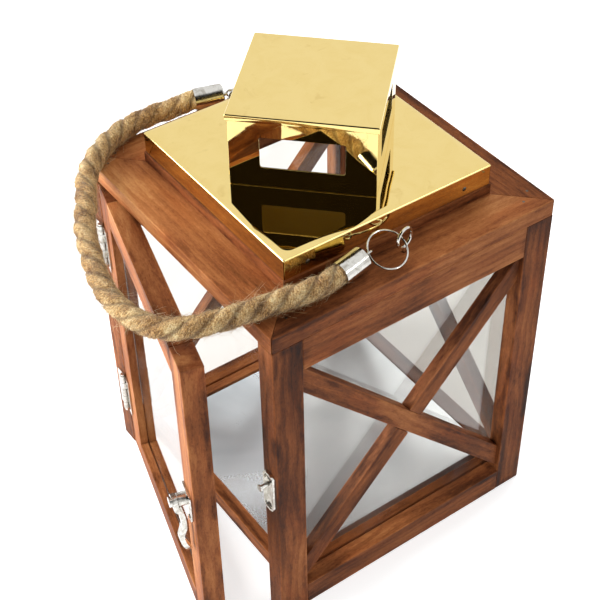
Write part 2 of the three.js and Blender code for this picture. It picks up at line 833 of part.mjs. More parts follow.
// A cup over the rope's end with a loop beyond its closed end, drawn up +Z from the loop.
function ferrule() {
  const outer = ropeRadius + pieceGap + ferruleWall;
  const inner = ropeRadius + pieceGap;
  const mouth = ferruleNeck + ferruleLength;
  const profile = [
    [0, ferruleNeck],
    [outer - ferruleRound, ferruleNeck],
    [outer, ferruleNeck + ferruleRound],
    [outer, mouth],
    [inner, mouth],
    [inner, ferruleNeck + ferruleCap],
    [0, ferruleNeck + ferruleCap],
  ];
  const cup = new THREE.LatheGeometry(profile.map(([x, y]) => new THREE.Vector2(x, y)), ferruleSides);
  cup.rotateX(Math.PI / 2);
  const loop = new THREE.TorusGeometry(ferruleLoopRadius, ferruleLoopWire, wireSides, loopSegments);
  loop.rotateY(Math.PI / 2);
  const neck = post(ferruleNeckRadius, ferruleLoopRadius, ferruleNeck + ferruleCap / 2, wireSides);
  return solid(cup).add(solid(loop)).add(solid(neck));
}

function placeFerrule(name, loopCentre, along, hole) {
  const across = hole.clone().addScaledVector(along, -hole.dot(along)).normalize();
  const third = new THREE.Vector3().crossVectors(along, across);
  const cup = addPiece(name, ferrule(), nickel);
  cup.quaternion.setFromRotationMatrix(new THREE.Matrix4().makeBasis(across, third, along));
  cup.position.copy(loopCentre);
}

// The point on a ring at an angle from the side away from its eye, and its direction there.
function ringPoint(centre, towardsEye, normal, angle) {
  const across = new THREE.Vector3().crossVectors(normal, towardsEye);
  const outward = towardsEye.clone().multiplyScalar(-Math.cos(angle));
  outward.addScaledVector(across, Math.sin(angle));
  const point = centre.clone().addScaledVector(outward, ringRadius);
  return { point, wire: new THREE.Vector3().crossVectors(normal, outward) };
}

const rightLoopAngle = THREE.MathUtils.degToRad(12);
const rightLoop = ringPoint(rightRingCentre, rightRingTowardsEye, rightRingNormal, rightLoopAngle);
const rightAlong = new THREE.Vector3(0.162, -0.986, -0.034).normalize();
const leftAlong = new THREE.Vector3(-0.34, -0.94, -0.04).normalize();
placeFerrule('ferrule_right', rightLoop.point, rightAlong, rightLoop.wire);
placeFerrule('ferrule_left', leftLoop, leftAlong, new THREE.Vector3(1, 0, 0));

// The rope's centre line between the ferrules: x, y and the rise above the top boards.
const ropeRoute = [
  [-100.5, -31.5, 7.7],
  [-103, -52, 6.9],
  [-99.5, -74, 6.7],
  [-89, -94.5, 6.6],
  [-71, -113, 6.2],
  [-52, -124, 5],
  [-34, -135, 4],
  [-14, -142.5, 3],
  [6, -148.8, 2.4],
  [27, -151.8, 2.2],
  [47, -149.5, 2.6],
  [62, -143, 3.6],
  [71.5, -131.5, 5],
  [77, -118, 6],
  [81, -100, 6.6],
  [85, -81, 7.4],
  [87.6, -64, 7.7],
];

// The point on a ferrule's axis at a distance beyond its mouth.
function beyondMouth(loopCentre, along, distance) {
  return loopCentre.clone().addScaledVector(along, ferruleNeck + ferruleLength + distance);
}

// The straight end of the rope, from its grip inside a ferrule to a little way out of it.
function ropeEnd(loopCentre, along) {
  const mouth = ferruleNeck + ferruleLength;
  const stub = post(ropeRadius, mouth - ferruleGrip, mouth + ferruleLead + overcut, ropeSides);
  stub.applyQuaternion(new THREE.Quaternion().setFromUnitVectors(new THREE.Vector3(0, 0, 1), along));
  stub.translate(loopCentre.x, loopCentre.y, loopCentre.z);
  return solid(stub);
}

function rope() {
  const points = [
    beyondMouth(leftLoop, leftAlong, ferruleLead),
    ...ropeRoute.map(([x, y, rise]) => new THREE.Vector3(x, y, boardTopZ + rise)),
    beyondMouth(rightLoop.point, rightAlong, ferruleLead),
  ];
  const section = new THREE.Shape().absarc(0, 0, ropeRadius, 0, 2 * Math.PI);
  const extrudePath = new THREE.CatmullRomCurve3(points, false, 'centripetal');
  const middle = new THREE.ExtrudeGeometry(section, {
    steps: ropeSteps,
    curveSegments: ropeSides / 2,
    extrudePath,
  });
  return solid(middle).add(ropeEnd(leftLoop, leftAlong)).add(ropeEnd(rightLoop.point, rightAlong));
}
addPiece('rope_handle', rope(), jute);

export default lantern;
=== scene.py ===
import math
import random

import bpy
import numpy as np
from mathutils import Matrix, Vector


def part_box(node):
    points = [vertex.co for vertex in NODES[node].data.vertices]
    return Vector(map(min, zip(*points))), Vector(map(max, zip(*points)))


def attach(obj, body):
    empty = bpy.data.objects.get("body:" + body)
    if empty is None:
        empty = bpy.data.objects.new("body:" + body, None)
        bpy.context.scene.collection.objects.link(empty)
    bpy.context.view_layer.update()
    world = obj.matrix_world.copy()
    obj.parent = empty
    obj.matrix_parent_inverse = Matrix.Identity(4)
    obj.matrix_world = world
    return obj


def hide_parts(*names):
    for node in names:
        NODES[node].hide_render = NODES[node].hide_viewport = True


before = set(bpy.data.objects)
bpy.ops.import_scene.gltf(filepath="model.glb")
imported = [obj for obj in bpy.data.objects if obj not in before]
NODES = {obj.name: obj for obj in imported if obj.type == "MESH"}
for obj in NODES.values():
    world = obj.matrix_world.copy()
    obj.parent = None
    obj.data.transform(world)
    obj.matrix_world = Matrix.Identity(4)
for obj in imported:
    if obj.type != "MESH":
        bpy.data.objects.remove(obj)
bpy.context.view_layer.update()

MM = 0.001


# ------------------------------------------------------------------ camera

AZIMUTH = math.radians(52.839)
ELEVATION = math.radians(42.838)
ROLL = math.radians(0.6685)
CAMERA_PLACE = Vector((0.53178, -0.37617, 0.71844))
LENS_MM = 82.235
SHIFT_X, SHIFT_Y = -0.0833, 0.025


def make_camera():
    back = Vector(
        (
            math.cos(ELEVATION) * math.sin(AZIMUTH),
            -math.cos(ELEVATION) * math.cos(AZIMUTH),
            math.sin(ELEVATION),
        )
    )
    level_right = Vector((math.cos(AZIMUTH), math.sin(AZIMUTH), 0))
    level_up = back.cross(level_right)
    right = level_right * math.cos(ROLL) + level_up * math.sin(ROLL)
    up = back.cross(right)
    data = bpy.data.cameras.new("camera")
    data.sensor_width = 36
    data.lens = LENS_MM
    data.shift_x, data.shift_y = SHIFT_X, SHIFT_Y
    data.clip_start = 0.01
    data.clip_end = 20
    camera = bpy.data.objects.new("camera", data)
    camera.matrix_world = Matrix(
        (
            (right.x, up.x, back.x, CAMERA_PLACE.x),
            (right.y, up.y, back.y, CAMERA_PLACE.y),
            (right.z, up.z, back.z, CAMERA_PLACE.z),
            (0, 0, 0, 1),
        )
    )
    bpy.context.scene.collection.objects.link(camera)
    bpy.context.scene.camera = camera


make_camera()


# ------------------------------------------------------------------ rope


def add_mesh(name, verts, faces, smooth=True):
    mesh = bpy.data.meshes.new(name)
    mesh.from_pydata([tuple(v) for v in verts], [], faces)
    mesh.validate()
    mesh.update()
    if smooth:
        mesh.polygons.foreach_set("use_smooth", [True] * len(mesh.polygons))
    piece = bpy.data.objects.new(name, mesh)
    bpy.context.scene.collection.objects.link(piece)
    return piece


BOARD_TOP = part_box("top_board_front")[1].z
SWING_AXIS_Z = BOARD_TOP + 9.8 * MM
ROPE_RADIUS = 6.3 * MM
# from the middle of a ferrule's end loop to its open mouth
FERRULE_MOUTH = 23.1 * MM

# The rope leaves each ferrule along its own line: the loop's centre and the direction.
LEFT_LOOP = Vector((-0.091487, 0, SWING_AXIS_Z))
LEFT_ALONG = Vector((-0.34, -0.94, -0.04)).normalized()
RIGHT_LOOP = Vector((0.082375, -0.023342, 0.234427))
RIGHT_ALONG = Vector((0.162, -0.986, -0.034)).normalized()

# x, y and the rise above the top boards, in millimetres
ROPE_ROUTE = [
    (-100.5, -31.5, 7.7),
    (-103, -52, 6.9),
    (-99.5, -74, 6.7),
    (-89, -94.5, 6.6),
    (-71, -113, 6.2),
    (-52, -124, 5),
    (-34, -135, 4),
    (-14, -142.5, 3),
    (6, -148.8, 2.4),
    (27, -151.8, 2.2),
    (47, -149.5, 2.6),
    (62, -143, 3.6),
    (71.5, -131.5, 5),
    (77, -118, 6),
    (81, -100, 6.6),
    (85, -81, 7.4),
    (87.6, -64, 7.7),
]
# how deep the rope's first and last points lie inside the ferrules, in millimetres
INSIDE_DEPTHS = [8, 4, 0, -4]
POINTS_PER_SPAN = 40


def rope_points():
    left = [LEFT_LOOP + LEFT_ALONG * (FERRULE_MOUTH - d * MM) for d in INSIDE_DEPTHS]
    right = [RIGHT_LOOP + RIGHT_ALONG * (FERRULE_MOUTH - d * MM) for d in reversed(INSIDE_DEPTHS)]
    route = [Vector((x * MM, y * MM, BOARD_TOP + rise * MM)) for x, y, rise in ROPE_ROUTE]
    return left + route + right


def smooth_path(points, step):
    """Centripetal Catmull-Rom through the points, walked at even steps."""
    padded = [points[0] * 2 - points[1]] + points + [points[-1] * 2 - points[-2]]
    fine = []
    for i in range(1, len(padded) - 2):
        p0, p1, p2, p3 = padded[i - 1 : i + 3]
        t1 = (p1 - p0).length ** 0.5
        t2 = t1 + (p2 - p1).length ** 0.5
        t3 = t2 + (p3 - p2).length ** 0.5
        for k in range(POINTS_PER_SPAN):
            t = t1 + (t2 - t1) * k / POINTS_PER_SPAN
            a1 = p0 * ((t1 - t) / t1) + p1 * (t / t1)
            a2 = p1 * ((t2 - t) / (t2 - t1)) + p2 * ((t - t1) / (t2 - t1))
            a3 = p2 * ((t3 - t) / (t3 - t2)) + p3 * ((t - t2) / (t3 - t2))
            b1 = a1 * ((t2 - t) / t2) + a2 * (t / t2)
            b2 = a2 * ((t3 - t) / (t3 - t1)) + a3 * ((t - t1) / (t3 - t1))
            fine.append(b1 * ((t2 - t) / (t2 - t1)) + b2 * ((t - t1) / (t2 - t1)))
    fine.append(padded[-2].copy())
    line = np.array(fine)
    run = np.concatenate([[0], np.cumsum(np.linalg.norm(np.diff(line, axis=0), axis=1))])
    count = int(round(run[-1] / step)) + 1
    at = np.linspace(0, run[-1], count)
    return np.stack([np.interp(at, run, line[:, k]) for k in range(3)], axis=1), run[-1]


def frames_along(line):
    """Tangent and two sides at each point, carried along without twist."""
    tangents = np.gradient(line, axis=0)
    tangents /= np.linalg.norm(tangents, axis=1)[:, None]
    side = np.cross(tangents[0], (0, 0, 1))
    sides = []
    for t in tangents:
        side = side - t * np.dot(side, t)
        side /= np.linalg.norm(side)
        sides.append(side)
    sides = np.array(sides)
    return tangents, sides, np.cross(tangents, sides)


ROPE_LAY = 42 * MM
YARN_LAY = 7 * MM
STRANDS = 3
STRAND_RADIUS = 4.9 * MM
STRAND_ORBIT = 1.7 * MM
STRAND_SIDES = 26
SQUEEZE = ROPE_RADIUS / (STRAND_RADIUS + STRAND_ORBIT)
ROPE_STEP = 0.9 * MM
ROPE_LINE, ROPE_LENGTH = smooth_path(rope_points(), ROPE_STEP)
ROPE_FRAMES = frames_along(ROPE_LINE)
ROPE_RUN = np.linspace(0, ROPE_LENGTH, len(ROPE_LINE))

# the jute's UV map: U along the rope, and V once round each strand, the strands set apart
UV_PER_METRE = 100
UV_GAP = 3


def strand_angle(strand):
    """Where a strand stands round the rope's line at each step, laid left-handed."""
    uneven = 0.10 * np.sin(ROPE_RUN * 95 + 2.0 * strand) + 0.06 * np.sin(ROPE_RUN * 263 + strand)
    return -2 * math.pi * (ROPE_RUN / ROPE_LAY + strand / STRANDS) + uneven


def about_rope(angle, distance):
    """The points at an angle and a distance from the rope's line, one for each step along it."""
    _, sides, ups = ROPE_FRAMES
    return sides * (distance * np.cos(angle))[:, None] + ups * (distance * np.sin(angle))[:, None]


def make_rope():
    """Three strands pressed together, with the fibres' own directions kept as a UV map."""
    around = STRAND_SIDES
    rng = np.random.default_rng(41)
    verts, faces, uvs = [], [], []
    rows = len(ROPE_LINE)
    for strand in range(STRANDS):
        turn = strand_angle(strand)
        middle = about_rope(turn, np.full(rows, STRAND_ORBIT))
        start = len(verts)
        lumps = rng.uniform(0, 2 * math.pi, 6)
        ring = 2 * math.pi * np.arange(around) / around
        yarn = ROPE_RUN * 2 * math.pi / YARN_LAY
        for i in range(rows):
            swell = (
                1
                + 0.035 * np.cos(7 * ring + yarn[i])
                + 0.03 * np.sin(ROPE_RUN[i] * 610 + lumps[0] + 2 * np.sin(ring + lumps[1]))
                + 0.03 * np.sin(ROPE_RUN[i] * 1490 + lumps[2] + 3 * np.cos(ring + lumps[3]))
                + 0.025 * np.sin(ROPE_RUN[i] * 2700 + lumps[4] + 5 * np.cos(ring + lumps[5]))
                + rng.normal(0, 0.016, around)
            )
            radius = STRAND_RADIUS * swell
            side = ROPE_FRAMES[1][i] * np.cos(ring + turn[i])[:, None]
            up = ROPE_FRAMES[2][i] * np.sin(ring + turn[i])[:, None]
            verts += list(ROPE_LINE[i] + SQUEEZE * (middle[i] + radius[:, None] * (side + up)))
        for i in range(rows - 1):
            for k in range(around):
                a = start + i * around + k
                b = start + i * around + (k + 1) % around
                faces.append((a, b, b + around, a + around))
                u0, u1 = ROPE_RUN[i] * UV_PER_METRE, ROPE_RUN[i + 1] * UV_PER_METRE
                v0, v1 = k / around + UV_GAP * strand, (k + 1) / around + UV_GAP * strand
                uvs += [(u0, v0), (u0, v1), (u1, v1), (u1, v0)]
        for end, flip in ((start, True), (start + (rows - 1) * around, False)):
            ends = [end + k for k in range(around)]
            faces.append(tuple(reversed(ends)) if flip else tuple(ends))
            uvs += [(0.0, float(UV_GAP * strand))] * around
    rope = add_mesh("rope", verts, faces)
    layer = rope.data.uv_layers.new(name="lay")
    layer.data.foreach_set("uv", [c for uv in uvs for c in uv])
    return rope


FIBRE_COUNT = 6400
FIBRE_SEED = 7
FIBRE_STEPS = 5
FIBRE_SIDES = 3
BARE_END = 15 * MM


def make_fibres(count, seed):
    """Loose hairs lifting off the strands, as thin closed three-sided tubes."""
    rng = np.random.default_rng(seed)
    rows = len(ROPE_LINE)
    verts, faces, shades = [], [], []
    clear = int(BARE_END / (ROPE_LENGTH / rows))
    lay_pitch = 2 * math.pi * STRAND_ORBIT / ROPE_LAY
    turns = [strand_angle(strand) for strand in range(STRANDS)]
    for _ in range(count):
        i = int(rng.integers(clear, rows - clear))
        angle = turns[rng.integers(STRANDS)][i] + rng.normal(0, 0.42)
        tangent, side, up = (axis[i] for axis in ROPE_FRAMES)
        outward = side * math.cos(angle) + up * math.sin(angle)
        round_way = up * math.cos(angle) - side * math.sin(angle)
        along = tangent - round_way * lay_pitch
        along /= np.linalg.norm(along)
        along *= 1 if rng.random() < 0.5 else -1
        across = np.cross(along, outward)
        root = ROPE_LINE[i] + outward * ROPE_RADIUS * 0.9
        kind = rng.random()
        if kind < 0.07:
            length, lift = rng.uniform(3.5, 9) * MM, rng.uniform(0.6, 1.6)
        elif kind < 0.40:
            length, lift = rng.uniform(2, 4.5) * MM, rng.uniform(0.4, 1.1)
        else:
            length, lift = rng.uniform(3, 7) * MM, rng.uniform(0.06, 0.3)
        curl = rng.normal(0, 0.55)
        thick = rng.uniform(0.05, 0.11) * MM
        shade = rng.random()
        start = len(verts)
        for step in range(FIBRE_STEPS + 1):
            f = step / FIBRE_STEPS
            rise = lift * f * (1 - 0.3 * f)
            sway = curl * f * f + 0.12 * math.sin(5 * f + angle)
            centre = root + (outward * rise + along * f + across * sway) * length
            r = thick * (1 - 0.6 * f)
            for k in range(FIBRE_SIDES):
                a = 2 * math.pi * k / FIBRE_SIDES
                verts.append(centre + across * (r * math.cos(a)) + outward * (r * math.sin(a)))
                shades.append(shade)
        for step in range(FIBRE_STEPS):
            for k in range(FIBRE_SIDES):
                a = start + step * FIBRE_SIDES + k
                b = start + step * FIBRE_SIDES + (k + 1) % FIBRE_SIDES
                faces.append((a, b, b + FIBRE_SIDES, a + FIBRE_SIDES))
        faces.append((start + 2, start + 1, start))
        top = start + FIBRE_STEPS * FIBRE_SIDES
        faces.append((top, top + 1, top + 2))
    fibres = add_mesh("rope_fibres", verts, faces)
    shade_layer = fibres.data.attributes.new("shade", "FLOAT", "POINT")
    shade_layer.data.foreach_set("value", shades)
    return fibres


rope = make_rope()
fibres = make_fibres(FIBRE_COUNT, FIBRE_SEED)
for piece in (rope, fibres):
    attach(piece, "handle")
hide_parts("rope_handle")


# ------------------------------------------------------------------ node graphs


class Graph:
    """Short calls for building a node tree."""

    def __init__(self, tree):
        self.tree = tree

    def add(self, kind, inputs=None, **settings):
        node = self.tree.nodes.new(kind)
        for key, value in settings.items():
            setattr(node, key, value)
        for key, value in (inputs or {}).items():
            self.put(node.inputs[key], value)
        return node

    def put(self, socket, value):
        if isinstance(value, bpy.types.NodeSocket):
            self.tree.links.new(value, socket)
        elif (
            isinstance(value, (tuple, list)) and len(value) == 3 and len(socket.default_value) == 4
        ):
            socket.default_value = (*value, 1)
        else:
            socket.default_value = value

    def math(self, operation, a, b=0.0, clamp=False):
        node = self.add("ShaderNodeMath", operation=operation, use_clamp=clamp)
        self.put(node.inputs[0], a)
        self.put(node.inputs[1], b)
        return node.outputs[0]

    def vector(self, operation, a, b=None):
        node = self.add("ShaderNodeVectorMath", operation=operation)
        self.put(node.inputs[0], a)
        if b is not None:
            self.put(node.inputs[1], b)
        return node.outputs[1] if operation in ("DOT_PRODUCT", "LENGTH") else node.outputs[0]

    def noise(self, vector, scale=1.0, detail=2.0, roughness=0.5, distortion=0.0):
        node = self.add(
            "ShaderNodeTexNoise",
            {
                "Vector": vector,
                "Scale": scale,
                "Detail": detail,
                "Roughness": roughness,
                "Distortion": distortion,
            },
        )
        return node.outputs["Fac"]

    def stretch(self, vector, scale):
        return self.vector("MULTIPLY", vector, scale)

    def span(self, value, low, high, to_low=0.0, to_high=1.0):
        node = self.add("ShaderNodeMapRange", interpolation_type="SMOOTHSTEP")
        for key, number in zip((0, 1, 2, 3, 4), (value, low, high, to_low, to_high)):
            self.put(node.inputs[key], number)
        return node.outputs[0]

    def ramp(self, value, stops):
        node = self.add("ShaderNodeValToRGB", {"Fac": value})
        points = node.color_ramp.elements
        while len(points) < len(stops):
            points.new(0.5)
        for point, (place, colour) in zip(points, stops):
            point.position = place
            point.color = (*colour, 1)
        return node.outputs["Color"]

    def mix(self, factor, a, b, blend="MIX"):
        node = self.add("ShaderNodeMix", data_type="RGBA", blend_type=blend)
        self.put(node.inputs[0], factor)
        self.put(node.inputs[6], a)
        self.put(node.inputs[7], b)
        return node.outputs[2]

    def bump(self, height, strength, distance, normal=None):
        node = self.add(
            "ShaderNodeBump", {"Height": height, "Strength": strength, "Distance": distance}
        )
        if normal is not None:
            self.put(node.inputs["Normal"], normal)
        return node.outputs["Normal"]


def new_material(name):
    material = bpy.data.materials.new(name)
    material.use_nodes = True
    material.node_tree.nodes.clear()
    return material, Graph(material.node_tree)


def finish_material(graph, shader):
    output = graph.add("ShaderNodeOutputMaterial")
    graph.put(output.inputs["Surface"], shader)


def object_position(graph):
    return graph.add("ShaderNodeTexCoord").outputs["Object"]


# ------------------------------------------------------------------ wood


def linear(red, green, blue):
    """An sRGB colour as 0-255 numbers, in linear light."""
    return tuple(
        c / 12.92 if c <= 0.04045 else ((c + 0.055) / 1.055) ** 2.4
        for c in (red / 255, green / 255, blue / 255)
    )


WOOD_STOPS = [
    (0.0, linear(38, 17, 8)),
    (0.25, linear(88, 46, 22)),
    (0.5, linear(142, 82, 45)),
    (0.74, linear(181, 116, 68)),
    (1.0, linear(214, 157, 100)),
]
RINGS_PER_METRE = 210.0


def make_wood_group():
    """Stained softwood. Vector is in metres with X along the grain; the pith lies at y = z = 0."""
    tree = bpy.data.node_groups.new("stained_softwood", "ShaderNodeTree")
    for name, kind, way in (
        ("Vector", "NodeSocketVector", "INPUT"),
        ("From Middle", "NodeSocketVector", "INPUT"),
        ("Half Size", "NodeSocketVector", "INPUT"),
        ("Tone", "NodeSocketFloat", "INPUT"),
        ("Color", "NodeSocketColor", "OUTPUT"),
        ("Roughness", "NodeSocketFloat", "OUTPUT"),
        ("Height", "NodeSocketFloat", "OUTPUT"),
    ):
        tree.interface.new_socket(name, in_out=way, socket_type=kind)
    g = Graph(tree)
    entry = g.add("NodeGroupInput")
    at = entry.outputs["Vector"]

    wander = g.add(
        "ShaderNodeTexNoise", {"Vector": g.stretch(at, (14, 34, 34)), "Scale": 1.0, "Detail": 2.0}
    )
    sway = g.vector("SUBTRACT", wander.outputs["Color"], (0.5, 0.5, 0.5))
    bent = g.vector("ADD", at, g.stretch(sway, (0, 0.012, 0.012)))
    split = g.add("ShaderNodeSeparateXYZ", {"Vector": bent})
    across = g.math("POWER", split.outputs[1], 2.0)
    deep = g.math("POWER", split.outputs[2], 2.0)
    pith = g.math("SQRT", g.math("ADD", across, deep))
    rings = g.math("FRACT", g.math("MULTIPLY", pith, RINGS_PER_METRE))
    late = g.math("MULTIPLY", g.span(rings, 0.3, 0.85), g.span(rings, 1.0, 0.9))
    streak = g.noise(g.stretch(bent, (7, 330, 330)), 1.0, 3.0, 0.55)
    fibre = g.noise(g.stretch(at, (150, 1150, 1150)), 1.0, 3.0, 0.6)
    blotch = g.noise(g.stretch(at, (12, 42, 42)), 1.0, 4.0, 0.6, 0.6)
    cloud = g.noise(g.stretch(at, (7, 16, 16)), 1.0, 2.0)
    pores = g.span(g.noise(g.stretch(at, (420, 2100, 2100)), 1.0, 1.0), 0.6, 0.7)
    lights = g.span(g.noise(g.stretch(at, (520, 2600, 2600)), 1.3, 1.0), 0.62, 0.74)

    def swing(noise, amount):
        return g.math("MULTIPLY", g.math("SUBTRACT", noise, 0.5), amount)

    value = g.math("MULTIPLY", g.math("SUBTRACT", 0.4, late), 0.07)
    value = g.math("ADD", value, swing(streak, 0.3))
    value = g.math("ADD", value, swing(fibre, 0.3))
    value = g.math("ADD", value, swing(blotch, 0.75))
    value = g.math("ADD", value, swing(cloud, 1.0))
    smudge = g.noise(g.stretch(at, (30, 90, 90)), 1.0, 4.0, 0.7, 0.8)
    value = g.math("SUBTRACT", value, g.math("MULTIPLY", g.span(smudge, 0.55, 0.75), 0.13))
    dirt = g.noise(g.stretch(at, (380, 700, 700)), 1.0, 3.0, 0.75)
    value = g.math("ADD", value, swing(dirt, 0.26))
    value = g.math("ADD", value, g.math("MULTIPLY", pores, -0.10))
    value = g.math("ADD", value, g.math("MULTIPLY", lights, 0.07))
    value = g.math("ADD", value, entry.outputs["Tone"])

    # distance to the nearest long edge: the middle one of the three distances to the sides
    from_middle = g.vector("ABSOLUTE", entry.outputs["From Middle"])
    inside = g.vector("SUBTRACT", entry.outputs["Half Size"], from_middle)
    d = g.add("ShaderNodeSeparateXYZ", {"Vector": inside})
    least = g.math("MINIMUM", g.math("MINIMUM", d.outputs[0], d.outputs[1]), d.outputs[2])
    most = g.math("MAXIMUM", g.math("MAXIMUM", d.outputs[0], d.outputs[1]), d.outputs[2])
    total = g.math("ADD", g.math("ADD", d.outputs[0], d.outputs[1]), d.outputs[2])
    middle = g.math("SUBTRACT", g.math("SUBTRACT", total, least), most)
    wander_edge = g.noise(g.stretch(at, (60, 200, 200)), 1.0, 2.0)
    rim = g.span(g.math("ADD", middle, g.math("MULTIPLY", wander_edge, 0.0012)), 0.0019, 0.0006)
    value = g.math("ADD", value, g.math("MULTIPLY", rim, 0.12))
    # darker in patches within a few millimetres of each long edge
    edge_dark_patches = g.span(g.noise(g.stretch(at, (22, 70, 70)), 1.0, 3.0, 0.65), 0.42, 0.66)
    edge_darkening = g.math("MULTIPLY", g.span(middle, 0.0065, 0.0015), edge_dark_patches)
    value = g.math("SUBTRACT", value, g.math("MULTIPLY", edge_darkening, 0.26))

    end_grain = g.span(d.outputs[0], 0.0014, 0.0002)
    colour = g.ramp(value, WOOD_STOPS)
    colour = g.mix(g.math("MULTIPLY", end_grain, 0.45), colour, linear(70, 34, 18))
    warm = g.noise(g.stretch(at, (20, 80, 80)), 1.0, 1.0)
    colour = g.mix(g.span(warm, 0.5, 0.75, 0.0, 0.25), colour, (1.0, 0.62, 0.42), "MULTIPLY")

    leave = g.add("NodeGroupOutput")
    g.put(leave.inputs["Color"], colour)
    g.put(leave.inputs["Roughness"], g.math("ADD", 0.44, g.math("MULTIPLY", fibre, 0.25)))
    height = g.math("ADD", g.math("MULTIPLY", streak, 0.4), fibre)
    height = g.math("SUBTRACT", height, g.math("MULTIPLY", pores, 0.5))
    g.put(leave.inputs["Height"], height)
    return tree


WOOD = make_wood_group()


def grain_frame(mesh):
    """The two largest faces' normals give a timber's sides, and their cross product its grain."""
    sums = []
    for face in mesh.polygons:
        for entry in sums:
            if abs(entry[0].dot(face.normal)) > 0.999:
                entry[1] += face.area
                break
        else:
            sums.append([face.normal.copy(), face.area])
    sums.sort(key=lambda entry: -entry[1])
    flat = sums[0][0].normalized()
    grain = flat.cross(sums[1][0]).normalized()
    return grain, flat.cross(grain), flat


def wood_material(name, tone, rng):
    mesh = NODES[name].data
    grain, side, flat = grain_frame(mesh)
    turn = Matrix((grain, side, flat))
    turned = [turn @ v.co for v in mesh.vertices]
    low = Vector([min(v[k] for v in turned) for k in range(3)])
    high = Vector([max(v[k] for v in turned) for k in range(3)])
    middle = (low + high) / 2
    material, g = new_material("wood_" + name)
    angles = tuple(turn.to_euler("XYZ"))
    centred = g.add(
        "ShaderNodeMapping",
        {"Vector": object_position(g), "Rotation": angles, "Location": tuple(-middle)},
    ).outputs[0]
    reach = rng.uniform(0.012, 0.05)
    lean = rng.uniform(0.15, 1.4)
    heart = (rng.uniform(-3, 3), reach * math.cos(lean), reach * math.sin(lean))
    seeded = g.vector("ADD", centred, heart)
    wood = g.add("ShaderNodeGroup", node_tree=WOOD)
    g.put(wood.inputs["Vector"], seeded)
    g.put(wood.inputs["From Middle"], centred)
    wood.inputs["Half Size"].default_value = (high - low) / 2
    wood.inputs["Tone"].default_value = tone
    shader = g.add(
        "ShaderNodeBsdfPrincipled",
        {
            "Base Color": wood.outputs["Color"],
            "Roughness": wood.outputs["Roughness"],
            "Specular IOR Level": 0.12,
            "Normal": g.bump(wood.outputs["Height"], 0.3, 0.0005),
        },
    )
    finish_material(g, shader.outputs[0])
    return material


# The first prefix that fits a timber's name gives its tone.
WOOD_TONES = {
    "post_front_right": 0.40,
    "post_rear_right": 0.38,
    "post_": 0.49,
    "rail_": 0.5,
    "brace_over": 0.6,
    "brace_": 0.49,
    "top_board_front": 0.6,
    "top_board_right": 0.49,
    "top_board_": 0.52,
    "plinth_": 0.46,
    "door_stile": 0.56,
    "door_rail": 0.58,
}
TONE_SPREAD = 0.05
WELD_DISTANCE = 1e-6


def dress(name, material):
    slots = NODES[name].material_slots
    if not slots:
        NODES[name].data.materials.append(material)
        return
    for slot in slots:
        slot.link = "OBJECT"
        slot.material = material


def soften(name, width, segments=2, angle=30):
    """Welds a carried-over mesh in a modifier and rounds its sharp edges."""
    piece = NODES[name]
    weld = piece.modifiers.new("weld", "WELD")
    weld.merge_threshold = WELD_DISTANCE
    bevel = piece.modifiers.new("soften", "BEVEL")
    bevel.width = width
    bevel.segments = segments
    bevel.limit_method = "ANGLE"
    bevel.angle_limit = math.radians(angle)
    bevel.use_clamp_overlap = True
    bevel.harden_normals = False


wood_rng = random.Random(12)
for node_name in sorted(NODES):
    for prefix, tone in WOOD_TONES.items():
        if node_name.startswith(prefix):
            tone += wood_rng.uniform(-TONE_SPREAD, TONE_SPREAD)
            dress(node_name, wood_material(node_name, tone, wood_rng))
            soften(node_name, 0.5 * MM)
            break


# ------------------------------------------------------------------ glass


def make_glass():
    material, g = new_material("clear_glass")
    at = object_position(g)
    smear = g.noise(g.stretch(at, (14, 14, 9)), 1.0, 3.0, 0.6, 0.8)
    glass = g.add(
        "ShaderNodeBsdfPrincipled",
        {
            "Base Color": (0.70, 0.685, 0.65),
            "Roughness": 0.0,
            "IOR": 1.5,
            "Transmission Weight": 1.0,
        },
    )
    clear = g.add("ShaderNodeBsdfTransparent", {"Color": (0.96, 0.98, 0.975)})
    path = g.add("ShaderNodeLightPath")
    see = g.math("MAXIMUM", path.outputs["Is Shadow Ray"], path.outputs["Is Diffuse Ray"])
    pane = g.add("ShaderNodeMixShader")
    g.put(pane.inputs[0], see)
    g.put(pane.inputs[1], glass.outputs[0])
    g.put(pane.inputs[2], clear.outputs[0])
    dust = g.add("ShaderNodeBsdfDiffuse", {"Color": (0.86, 0.89, 0.93)})
    dusty = g.add("ShaderNodeMixShader")
    g.put(dusty.inputs[0], g.span(smear, 0.42, 0.78, 0.0, 0.045))
    g.put(dusty.inputs[1], pane.outputs[0])
    g.put(dusty.inputs[2], dust.outputs[0])
    finish_material(g, dusty.outputs[0])
    return material


GLASS = make_glass()
for node_name in ("glass_right", "glass_left", "glass_rear", "door_glass"):
    dress(node_name, GLASS)


# ------------------------------------------------------------------ metals


def metal_shader(g, base, roughness, normal):
    return g.add(
        "ShaderNodeBsdfPrincipled",
        {"Base Color": base, "Metallic": 1.0, "Roughness": roughness, "Normal": normal},
    )


